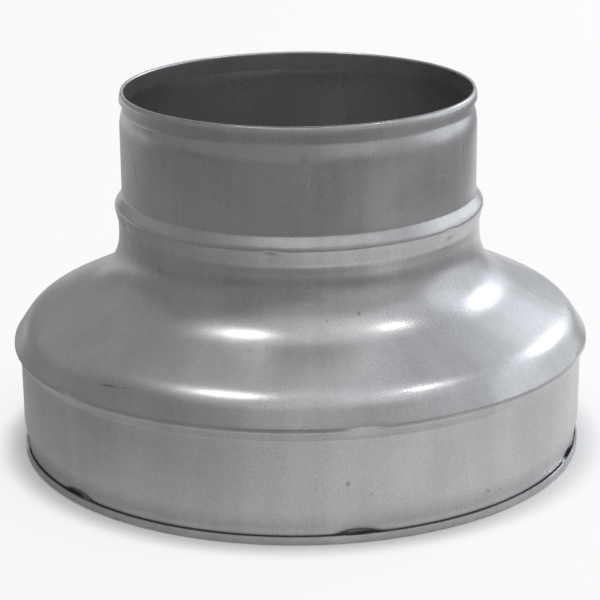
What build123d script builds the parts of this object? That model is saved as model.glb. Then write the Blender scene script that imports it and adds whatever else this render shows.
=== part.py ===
from build123d import *
import os

# Duct reducer, pressed and spun from one blank of galvanised sheet steel. It stands on its large end,
# with the origin at the centre of the base and +Z along the air path, towards the small end.
# Both ends are plain spigots that slide into a duct, so every radius is taken on the outside face.

# Sheet and spigots, in millimetres
sheet_thickness = 0.6
small_diameter = 124.0  # goes into a 125 mm duct
large_diameter = 199.0  # goes into a 200 mm duct
small_spigot_length = 39.9  # rim to the crest of the stop bead
transition_height = 47.9  # crest of the stop bead to the edge of the shoulder
large_spigot_length = 39.7  # edge of the shoulder to the base

# Rims: each wall is necked in at a crease, and its edge is folded outwards into an open hem,
# whose leaf stays inside the line of the spigot's wall
small_neck_depth = 1.1
small_neck_length = 6.3
small_flare_length = 5.7
small_hem_height = 3.2
small_hem_gap = 0.2
large_neck_depth = 1.1
large_neck_length = 6.2
large_flare_length = 5.3
large_hem_height = 3.4
large_hem_gap = 0.4
flare_bend = 10.0

# Stop bead: a steep upper flank that the duct meets, and a long underside that runs into the throat
bead_height = 2.7
bead_flank = 2.7
bead_underside = 6.0
bead_foot_bend = 1.5
bead_crest_bend = 1.8
bead_underside_bend = 5.0

# Throat and shoulder: a hollow throat, a cone, a double bend and the edge that overhangs the large spigot
throat_step = 1.35  # throat's radius beyond the small spigot's
throat_drop = 24.3  # crest of the stop bead to the corner of throat and cone
throat_bend = 20.0
edge_overhang = 2.3
upper_bend_inset = 8.6
upper_bend_rise = 10.3
upper_bend = 7.6
lower_bend_inset = 4.0
lower_bend_rise = 6.2
lower_bend = 12.7
edge_bend = 1.2
step_height = 4.2  # edge of the shoulder down to the large spigot's straight wall
step_bend = 1.2

# Radii and levels that follow from them
small_radius = small_diameter / 2
small_neck_radius = small_radius - small_neck_depth
small_leaf_radius = small_neck_radius + small_hem_gap
large_radius = large_diameter / 2
large_neck_radius = large_radius - large_neck_depth
large_leaf_radius = large_neck_radius + large_hem_gap
throat_radius = small_radius + throat_step
edge_radius = large_radius + edge_overhang
edge_level = large_spigot_length
bead_level = edge_level + transition_height
rim_level = bead_level + small_spigot_length
crease = 0  # a corner with no bend of its own

# Corners of the outside face from the small rim to the base, as radius, level and bend
small_rim = [
    (small_leaf_radius, rim_level - sheet_thickness, crease),
    (small_neck_radius, rim_level - sheet_thickness, crease),
    (small_neck_radius, rim_level - small_neck_length, crease),
    (small_radius, rim_level - small_neck_length - small_flare_length, flare_bend),
]
stop_bead = [
    (small_radius, bead_level + bead_flank, bead_foot_bend),
    (small_radius + bead_height, bead_level, bead_crest_bend),
    (throat_radius, bead_level - bead_underside, bead_underside_bend),
]
shoulder = [
    (throat_radius, bead_level - throat_drop, throat_bend),
    (edge_radius - upper_bend_inset, edge_level + upper_bend_rise, upper_bend),
    (edge_radius - lower_bend_inset, edge_level + lower_bend_rise, lower_bend),
    (edge_radius, edge_level, edge_bend),
    (large_radius, edge_level - step_height, step_bend),
]
large_rim = [
    (large_radius, large_neck_length + large_flare_length, flare_bend),
    (large_neck_radius, large_neck_length, crease),
    (large_neck_radius, sheet_thickness, crease),
    (large_leaf_radius, sheet_thickness, crease),
]
corners = small_rim + stop_bead + shoulder + large_rim
small_leaf_end = (small_leaf_radius, rim_level - small_hem_height)
large_leaf_end = (large_leaf_radius, large_hem_height)

outside_face = FilletPolyline(
    small_leaf_end,
    *[(radius, level) for radius, level, bend in corners],
    large_leaf_end,
    radius=[bend for radius, level, bend in corners],
)

# The sheet keeps one thickness round every bend and fold, so its section is that line set off to one side
section = make_face(offset(outside_face, sheet_thickness, side=Side.RIGHT, closed=True))
reducer_body = revolve(Plane.XZ * section, Axis.Z)

os.makedirs("parts", exist_ok=True)
export_step(reducer_body, "parts/reducer_body.step")
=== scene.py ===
import math
import bmesh
import bpy
from mathutils import Matrix, Vector, noise


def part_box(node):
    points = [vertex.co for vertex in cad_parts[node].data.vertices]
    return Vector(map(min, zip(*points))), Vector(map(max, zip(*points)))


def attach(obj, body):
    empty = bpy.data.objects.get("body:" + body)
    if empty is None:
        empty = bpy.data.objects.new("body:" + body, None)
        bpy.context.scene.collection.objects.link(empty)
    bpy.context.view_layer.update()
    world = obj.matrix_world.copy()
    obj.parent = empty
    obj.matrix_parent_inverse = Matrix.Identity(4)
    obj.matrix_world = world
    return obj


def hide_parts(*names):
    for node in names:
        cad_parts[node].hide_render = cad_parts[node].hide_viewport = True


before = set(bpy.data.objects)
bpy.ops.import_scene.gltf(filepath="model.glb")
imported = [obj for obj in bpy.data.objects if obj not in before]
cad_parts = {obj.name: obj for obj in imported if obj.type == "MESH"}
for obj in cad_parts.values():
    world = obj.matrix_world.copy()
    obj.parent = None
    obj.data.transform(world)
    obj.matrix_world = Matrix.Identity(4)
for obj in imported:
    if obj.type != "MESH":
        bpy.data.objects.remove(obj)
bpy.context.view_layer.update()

# Reducer body: the whole fitting is one blank of galvanised sheet steel, drawn and spun to shape.
# Its section is one bent line with the sheet's thickness, turned about the air path.
# Both edges are folded outwards into open hems, and the wall is necked in beside each fold.

MM = 0.001
body_low, body_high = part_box("reducer_body")
rim_level = (body_high.z - body_low.z) / MM
sheet_thickness = 0.6
small_radius = 62.0
large_radius = 99.5
edge_radius = large_radius + 2.1
throat_radius = small_radius + 1.35
edge_level = 39.7
bead_level = edge_level + 47.9
small_neck_radius = small_radius - 1.1
small_leaf_radius = small_neck_radius + 0.4
large_neck_radius = large_radius - 1.1
large_leaf_radius = large_neck_radius + 0.5
lip_level = 2.8

# Corners of the outside face from the small rim to the base, in millimetres: radius, level and bend
small_rim = [
    (small_leaf_radius, rim_level - 3.2, 0),
    (small_leaf_radius - 0.05, rim_level - 2.1, 0),
    (small_leaf_radius - 0.1, rim_level - 1.6, 0),
    (small_leaf_radius - 0.2, rim_level - 1.1, 0),
    (small_leaf_radius - 0.3, rim_level - sheet_thickness, 0.05),
    (small_neck_radius, rim_level - sheet_thickness, 0.05),
    (small_neck_radius, rim_level - 6.3, 0),
    (small_radius, rim_level - 9.6, 18),
]
stop_bead = [
    (small_radius, bead_level + 3.8, 1.0),
    (small_radius + 2.7, bead_level, 2.4),
    (throat_radius, bead_level - 6.0, 5),
]
shoulder = [
    (throat_radius, bead_level - 23.6, 21),
    (edge_radius - 5.8, edge_level + 9.0, 13),
    (edge_radius - 0.15, edge_level + 0.7, 0.8),
    (edge_radius, edge_level - 0.6, 0.5),
    (large_radius, edge_level - 4.2, 1.2),
]
large_rim = [
    (large_radius, 11.5, 10),
    (large_neck_radius, 5.2, 0),
    (large_neck_radius, sheet_thickness, 0),
    (large_leaf_radius, sheet_thickness, 0),
    (large_leaf_radius, lip_level, 0),
]
section_corners = small_rim + stop_bead + shoulder + large_rim


def extend(drawing, tip, place):
    """Extrudes the end of a line to a place in the section, in up to eight equal parts."""
    longest_part = 0.9
    start = tip.co.copy()
    goal = Vector((place.x, 0, place.y))
    parts = max(1, min(8, math.ceil((goal - start).length / longest_part)))
    for part in range(1, parts + 1):
        tip = bmesh.ops.extrude_vert_indiv(drawing, verts=[tip])["verts"][0]
        tip.co = start.lerp(goal, part / parts)
    return tip


def draw_face(drawing, corners, set_back, turn_step):
    """Draws one face of the sheet: straight runs, and a spun arc at each bend. Returns its two ends."""
    path = [Vector((radius, level)) for radius, level, bend in corners]
    bends = [bend for radius, level, bend in corners]
    headings = [(after - before).normalized() for before, after in zip(path, path[1:])]
    lefts = [Vector((-heading.y, heading.x)) for heading in headings]
    first = path[0] - lefts[0] * set_back
    start = bmesh.ops.create_vert(drawing, co=(first.x, 0, first.y))["vert"][0]
    tip = start
    for number in range(1, len(path) - 1):
        heading = headings[number - 1]
        left = lefts[number - 1]
        turn = math.atan2(heading.cross(headings[number]), heading.dot(headings[number]))
        side = math.copysign(1, turn)
        bend = bends[number]
        centre = path[number] - heading * bend * math.tan(abs(turn) / 2) + left * side * bend
        face_bend = bend + side * set_back
        tip = extend(drawing, tip, centre - left * side * face_bend)
        if face_bend > 0:
            arc = bmesh.ops.spin(
                drawing,
                geom=[tip],
                cent=(centre.x, 0, centre.y),
                axis=(0, -1, 0),
                angle=turn,
                steps=math.ceil(abs(turn) / turn_step),
            )
            tip = [part for part in arc["geom_last"] if isinstance(part, bmesh.types.BMVert)][0]
    tip = extend(drawing, tip, path[-1] - lefts[-1] * set_back)
    return start, tip


sheet = bmesh.new()
outside = draw_face(sheet, section_corners, 0, math.radians(8))
inside = draw_face(sheet, section_corners, sheet_thickness, math.radians(12))
for outside_end, inside_end in zip(outside, inside):
    bmesh.ops.contextual_create(sheet, geom=[outside_end, inside_end])
bmesh.ops.spin(
    sheet,
    geom=sheet.verts[:] + sheet.edges[:],
    axis=(0, 0, 1),
    angle=math.tau,
    steps=320,
    use_merge=True,
)
bmesh.ops.remove_doubles(sheet, verts=sheet.verts, dist=0.001)
bmesh.ops.recalc_face_normals(sheet, faces=sheet.faces)

# The spinning tool has six segments, and the gaps between them leave a mark every 60 degrees:
# where the marks start round the axis, their level, half width, half height and depth
segment_pitch = math.radians(60)
lip_marks = (math.radians(10.5), lip_level, 4.8, 1.25, 1.6)
notch_marks = (math.radians(11.5), edge_level - 0.6, 4.5, 1.4, 0.5)
bead_marks = (math.radians(-8.5), bead_level - 2.2, 2.6, 2.0, 0.5)
rim_marks = (math.radians(1.5), rim_level - 9.5, 3.0, 3.0, 0.1)


def mark_depth(marks, azimuth, radius, level):
    """How far a ring of tool marks pushes a point of the sheet towards the axis."""
    first_azimuth, mark_level, half_width, half_height, depth = marks
    turn = (azimuth - first_azimuth) % segment_pitch
    turn = min(turn, segment_pitch - turn)
    across = turn * radius / half_width
    along = (level - mark_level) / half_height
    return depth * math.exp(-across * across - along * along)


# The blank also comes off the tool a little uneven, and the small rim's fold is rolled in at its top
wave_length = 26.0
wave_depth = 0.12
leaf_gap = 0.1
roll_depth = 0.5
roll_height = 2.2
roll_sharpness = 4
for corner in sheet.verts:
    radius = math.hypot(corner.co.x, corner.co.y)
    azimuth = math.atan2(corner.co.x, -corner.co.y)
    level = corner.co.z
    push = wave_depth * (0.5 + 0.5 * noise.noise(corner.co / wave_length))
    push += mark_depth(notch_marks, azimuth, radius, level)
    push += mark_depth(bead_marks, azimuth, radius, level)
    push += mark_depth(rim_marks, azimuth, radius, level)
    if radius < large_leaf_radius - leaf_gap:
        push += mark_depth(lip_marks, azimuth, radius, max(level, lip_level))
    if radius > small_leaf_radius + leaf_gap and level > rim_level - roll_height:
        push += roll_depth * ((level - rim_level) / roll_height + 1) ** roll_sharpness
    corner.co.x *= 1 - push / radius
    corner.co.y *= 1 - push / radius

bmesh.ops.scale(sheet, vec=(MM, MM, MM), verts=sheet.verts)
body_mesh = bpy.data.meshes.new("reducer_sheet")
sheet.to_mesh(body_mesh)
sheet.free()
for face in body_mesh.polygons:
    face.use_smooth = True
body_mesh.set_sharp_from_angle(angle=math.radians(40))
reducer = bpy.data.objects.new("reducer_sheet", body_mesh)
bpy.context.scene.collection.objects.link(reducer)

# Zinc as it leaves the tool: a grey metal of medium gloss, mottled, with a fine grain
zinc = bpy.data.materials.new("galvanised_zinc")
zinc.use_nodes = True
nodes = zinc.node_tree.nodes
links = zinc.node_tree.links
shader = nodes["Principled BSDF"]
shader.inputs["Metallic"].default_value = 0.9
place = nodes.new("ShaderNodeTexCoord").outputs["Object"]


def noise_value(vector, scale, detail):
    """A noise pattern on the piece, as a value from 0 to 1."""
    pattern = nodes.new("ShaderNodeTexNoise")
    pattern.inputs["Scale"].default_value = scale
    pattern.inputs["Detail"].default_value = detail
    links.new(vector, pattern.inputs["Vector"])
    return pattern.outputs["Fac"]


def ramp(value, low, high):
    """Colours a value: low at 0.3 and high at 0.7."""
    colours = nodes.new("ShaderNodeValToRGB")
    colours.color_ramp.elements[0].position = 0.3
    colours.color_ramp.elements[1].position = 0.7
    colours.color_ramp.elements[0].color = (*low, 1)
    colours.color_ramp.elements[1].color = (*high, 1)
    links.new(value, colours.inputs["Fac"])
    return colours.outputs["Color"]


def multiply(first, second, amount):
    """Darkens one colour by another."""
    mix = nodes.new("ShaderNodeMix")
    mix.data_type = "RGBA"
    mix.blend_type = "MULTIPLY"
    mix.inputs["Factor"].default_value = amount
    links.new(first, mix.inputs["A"])
    links.new(second, mix.inputs["B"])
    return mix.outputs["Result"]


# Marks of handling, each a soft patch on the sheet: turn round the axis and tilt in degrees; radius,
# level, half width and half height in millimetres; and how much darker than the zinc it is
handling_marks = {
    "shoulder scratch": (-39.4, -5, 97.5, 46.0, 5.0, 0.45, 0.6),
    "end of the shoulder scratch": (-35.4, -12, 97.0, 46.5, 2.2, 0.3, 0.4),
    "pit at the foot of the throat": (16.6, 0, 66.3, 65.9, 0.8, 0.7, 0.6),
    "second pit": (7.3, 0, 67.0, 64.5, 0.6, 0.5, 0.5),
    "spot on the large wall": (8.4, 10, 99.4, 20.7, 0.9, 1.5, 0.5),
    "fainter spot": (12.7, 0, 99.5, 16.6, 0.8, 0.8, 0.35),
    "smudge over the lip": (38.0, 20, 98.9, 9.0, 1.3, 0.8, 0.45),
    "second smudge": (41.2, -15, 98.5, 8.0, 1.1, 0.8, 0.4),
    "spot on the throat": (-47.3, 0, 63.4, 74.5, 1.3, 1.1, 0.3),
    "smudge under the rim": (1.6, 0, 61.4, 116.8, 2.0, 2.6, 0.2),
    "tool line on the left": (-62.0, -12, 61.9, 105.0, 0.6, 9.0, 0.4),
    "tool line on the right": (62.9, 0, 61.8, 111.0, 0.6, 6.0, 0.3),
    "bright scratch on the small wall": (51.0, 5, 61.9, 105.4, 8.5, 0.3, -0.25),
    "bright streak on the small wall": (2.7, 8, 61.9, 108.5, 0.7, 3.5, -0.2),
    "bright scratch on the large wall": (-50.7, 6, 99.5, 33.0, 0.6, 3.4, -0.25),
    "speckle on the shoulder": (-12.3, 0, 76.3, 57.5, 1.4, 0.8, 0.25),
}


def calculate(operation, first, second):
    """One operation on two values, each a number or the output of a node."""
    step = nodes.new("ShaderNodeMath")
    step.operation = operation
    for value, socket in ((first, step.inputs[0]), (second, step.inputs[1])):
        if isinstance(value, (int, float)):
            socket.default_value = value
        else:
            links.new(value, socket)
    return step.outputs["Value"]


def patch(turn, tilt, radius, level, half_width, half_height):
    """A soft patch on the sheet, as a value from 1 at its middle to 0 at its edge."""
    reach = 4.0
    turn = math.radians(turn)
    lie = nodes.new("ShaderNodeMapping")
    lie.vector_type = "TEXTURE"
    lie.inputs["Location"].default_value = Vector((math.sin(turn), -math.cos(turn), 0)) * radius * MM
    lie.inputs["Location"].default_value[2] = level * MM
    lie.inputs["Rotation"].default_value = (0, math.radians(tilt), turn)
    lie.inputs["Scale"].default_value = Vector((half_width, reach, half_height)) * MM
    links.new(place, lie.inputs["Vector"])
    ball = nodes.new("ShaderNodeTexGradient")
    ball.gradient_type = "SPHERICAL"
    links.new(lie.outputs["Vector"], ball.inputs["Vector"])
    return ball.outputs["Fac"]


marked = 1
for *where, darkness in handling_marks.values():
    loss = calculate("MULTIPLY", patch(*where), darkness)
    marked = calculate("MULTIPLY", marked, calculate("SUBTRACT", 1, loss))

# The drawing tool leaves faint streaks from end to end of the sheet
round_axis = nodes.new("ShaderNodeVectorMath")
round_axis.operation = "MULTIPLY"
round_axis.inputs[1].default_value = (1, 1, 0)
links.new(place, round_axis.inputs[0])
heading = nodes.new("ShaderNodeVectorMath")
heading.operation = "NORMALIZE"
links.new(round_axis.outputs["Vector"], heading.inputs[0])
along_axis = nodes.new("ShaderNodeVectorMath")
along_axis.operation = "ADD"
links.new(heading.outputs["Vector"], along_axis.inputs[0])
links.new(place, along_axis.inputs[1])

mottle_scale = 38
grain_scale = 1900
streak_scale = 11
gloss_scale = 55
bump_scale = 1500
smoothest = 0.25
roughest = 0.32
mottle = ramp(noise_value(place, mottle_scale, 5), (0.493, 0.491, 0.5), (0.578, 0.574, 0.58))
grain = ramp(noise_value(place, grain_scale, 2), (0.8, 0.8, 0.8), (1, 1, 1))
streak_noise = noise_value(along_axis.outputs["Vector"], streak_scale, 4)
streaks = ramp(streak_noise, (0.94, 0.94, 0.94), (1.03, 1.03, 1.03))
zinc_colour = multiply(multiply(multiply(mottle, grain, 1), streaks, 1), marked, 1)
links.new(zinc_colour, shader.inputs["Base Color"])

gloss = nodes.new("ShaderNodeMapRange")
gloss.inputs["From Min"].default_value = 0.3
gloss.inputs["From Max"].default_value = 0.7
gloss.inputs["To Min"].default_value = smoothest
gloss.inputs["To Max"].default_value = roughest
links.new(noise_value(place, gloss_scale, 4), gloss.inputs["Value"])
links.new(gloss.outputs["Result"], shader.inputs["Roughness"])

bump = nodes.new("ShaderNodeBump")
bump.inputs["Strength"].default_value = 0.25
bump.inputs["Distance"].default_value = 0.00004
links.new(noise_value(place, bump_scale, 2), bump.inputs["Height"])
links.new(bump.outputs["Normal"], shader.inputs["Normal"])

body_mesh.materials.append(zinc)
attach(reducer, "root")
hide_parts("reducer_body")

# Stage: a wide sheet of white paper, plain on all sides, that keeps the soft shadow of the fitting.
# Under the fitting it lies in deeper shadow.

floor_size = 12.0
paper_white = 0.95
glow_share = 0.8
glow_share_under = 0.06
shadow_edge = 0.012
floor_mesh = bpy.data.meshes.new("floor")
floor_build = bmesh.new()
bmesh.ops.create_grid(floor_build, x_segments=1, y_segments=1, size=floor_size / 2)
floor_build.to_mesh(floor_mesh)
floor_build.free()
floor = bpy.data.objects.new("floor", floor_mesh)
bpy.context.scene.collection.objects.link(floor)

paper = bpy.data.materials.new("white_paper")
paper.use_nodes = True
nodes = paper.node_tree.nodes
links = paper.node_tree.links
shader = nodes["Principled BSDF"]
shader.inputs["Base Color"].default_value = (paper_white, paper_white, paper_white, 1)
shader.inputs["Roughness"].default_value = 0.9
shader.inputs["Specular IOR Level"].default_value = 0
glow = nodes.new("ShaderNodeEmission")
glow.inputs["Strength"].default_value = 1
rays = nodes.new("ShaderNodeLightPath")
seen = calculate("MAXIMUM", rays.outputs["Is Camera Ray"], rays.outputs["Is Glossy Ray"])
seen = calculate("MAXIMUM", seen, rays.outputs["Is Transmission Ray"])
middle = nodes.new("ShaderNodeVectorMath")
middle.operation = "LENGTH"
links.new(nodes.new("ShaderNodeTexCoord").outputs["Object"], middle.inputs[0])
share = nodes.new("ShaderNodeMapRange")
share.interpolation_type = "SMOOTHSTEP"
share.inputs["From Min"].default_value = large_radius * MM
share.inputs["From Max"].default_value = large_radius * MM + shadow_edge
share.inputs["To Min"].default_value = glow_share_under
share.inputs["To Max"].default_value = glow_share
links.new(middle.outputs["Value"], share.inputs["Value"])
blend = nodes.new("ShaderNodeMixShader")
links.new(calculate("MULTIPLY", seen, share.outputs["Result"]), blend.inputs["Fac"])
links.new(shader.outputs["BSDF"], blend.inputs[1])
links.new(glow.outputs["Emission"], blend.inputs[2])
links.new(blend.outputs["Shader"], nodes["Material Output"].inputs["Surface"])
floor_mesh.materials.append(paper)

# Shade: a grey sheet laid just over the paper, for the metal to mirror; the camera doesn't see it.
# On the fitting's left it is painted shade, standing in for the fitting's shadow on the floor.
# In front of the fitting and on its far right it darkens the floor that the metal mirrors; it is open
# between.

mirrored_shade_grey = 0.28
mirrored_shade_half_size = 3
mirrored_shade_middle = (-1.5, 0.9, 0.0005)
shade_mesh = bpy.data.meshes.new("shade")
shade_build = bmesh.new()
bmesh.ops.create_grid(shade_build, x_segments=1, y_segments=1, size=mirrored_shade_half_size)
bmesh.ops.translate(shade_build, vec=mirrored_shade_middle, verts=shade_build.verts)
shade_build.to_mesh(shade_mesh)
shade_build.free()
shade = bpy.data.objects.new("shade", shade_mesh)
shade.visible_camera = False
shade.visible_shadow = False
shade.visible_diffuse = False
bpy.context.scene.collection.objects.link(shade)

mirrored_shade_material = bpy.data.materials.new("grey_mirrored_shade")
mirrored_shade_material.use_nodes = True
nodes = mirrored_shade_material.node_tree.nodes
links = mirrored_shade_material.node_tree.links
shader = nodes["Principled BSDF"]
shader.inputs["Base Color"].default_value = (mirrored_shade_grey, mirrored_shade_grey, mirrored_shade_grey, 1)
shader.inputs["Roughness"].default_value = 0.9
shader.inputs["Specular IOR Level"].default_value = 0
spot = nodes.new("ShaderNodeSeparateXYZ")
links.new(nodes.new("ShaderNodeTexCoord").outputs["Object"], spot.inputs["Vector"])


def fade(value, start, end, most):
    """A value that rises from 0 at the start to the most at the end."""
    rise = nodes.new("ShaderNodeMapRange")
    rise.inputs["From Min"].default_value = start
    rise.inputs["From Max"].default_value = end
    rise.inputs["To Max"].default_value = most
    links.new(value, rise.inputs["Value"])
    return rise.outputs["Result"]


front_cover = fade(spot.outputs["Y"], -0.21, -0.27, 1)
# On the left the grey sheet is painted shade: the fitting's shadow on the floor, seen only in the metal
left_painted_shadow = fade(spot.outputs["X"], 0.08, -0.2, 0.92)
left_painted_shadow = calculate("MULTIPLY", left_painted_shadow, fade(spot.outputs["Y"], 1, 0.1, 1))
right_cover = fade(spot.outputs["X"], 0.22, 0.32, 0.9)
cover = calculate("MAXIMUM", calculate("MAXIMUM", front_cover, left_painted_shadow), right_cover)
blend = nodes.new("ShaderNodeMixShader")
links.new(cover, blend.inputs["Fac"])
links.new(nodes.new("ShaderNodeBsdfTransparent").outputs["BSDF"], blend.inputs[1])
links.new(shader.outputs["BSDF"], blend.inputs[2])
links.new(blend.outputs["Shader"], nodes["Material Output"].inputs["Surface"])
shade_mesh.materials.append(mirrored_shade_material)

# Studio light: large soft boxes all round and above, three small lamps, and the even light of a room.
# Each stands at the same distance and faces the fitting.

aim = Vector((0, 0, 0.07))
distance = 1.5
daylight = (0.89, 0.94, 1)


def soft_box(name, azimuth, elevation, width, height, radiance):
    """A round-edged area lamp, placed in degrees from the camera round to the right, and upwards."""
    lamp = bpy.data.lights.new(name, "AREA")
    lamp.shape = "ELLIPSE"
    lamp.size = width
    lamp.size_y = height
    lamp.energy = radiance * math.pi * (math.pi / 4 * width * height)
    turn = math.radians(azimuth)
    rise = math.radians(elevation)
    towards = Vector((math.sin(turn) * math.cos(rise), -math.cos(turn) * math.cos(rise), math.sin(rise)))
    box = bpy.data.objects.new(name, lamp)
    facing = towards.to_track_quat("Z", "Y").to_matrix().to_4x4()
    box.matrix_world = Matrix.Translation(aim + towards * distance) @ facing
    box.visible_camera = False
    bpy.context.scene.collection.objects.link(box)
    return lamp


soft_box("soft_box_right", 117, 18, 2.2, 1.2, 0.84).color = daylight
soft_box("soft_box_behind", 163, 24, 1.9, 1.5, 0.38).color = daylight
soft_box("soft_box_overhead", 100, 55, 2.2, 2.2, 0.36).color = daylight
soft_box("soft_box_above", 0, 80, 2.2, 2.0, 0.37)
soft_box("soft_box_left", -140, 36, 2.0, 1.4, 0.12)
soft_box("soft_box_front", 28, 46, 2.6, 1.5, 0.22)
soft_box("soft_box_low", 50, 13, 2.4, 0.5, 0.29)
soft_box("lamp_left", -72, 72, 0.28, 0.15, 24)
soft_box("lamp_right", 86, 60, 0.22, 0.1, 18)
soft_box("lamp_behind", 134, 24, 0.42, 0.34, 6.3).color = daylight

room = bpy.data.worlds.new("pale_room")
room.use_nodes = True
bpy.context.scene.world = room
room.node_tree.nodes["Background"].inputs["Color"].default_value = (1, 1, 1, 1)
room.node_tree.nodes["Background"].inputs["Strength"].default_value = 0.3

# Camera: a long lens with no shift on a stand in front of the fitting.
# It looks down on the fitting and is rolled a little, as the photographer's was.

camera_place = (0, -0.6976, 0.2780)
look_down = 18.114
camera_roll = -0.572
camera_data = bpy.data.cameras.new("camera")
camera_data.sensor_width = 36
camera_data.lens = 123.42
camera = bpy.data.objects.new("camera", camera_data)
pitch = math.radians(90 - look_down)
roll = math.radians(camera_roll)
stand = Matrix.Translation(camera_place)
camera.matrix_world = stand @ Matrix.Rotation(pitch, 4, "X") @ Matrix.Rotation(roll, 4, "Z")
bpy.context.scene.collection.objects.link(camera)
bpy.context.scene.camera = camera
bpy.context.scene.view_settings.view_transform = "Standard"
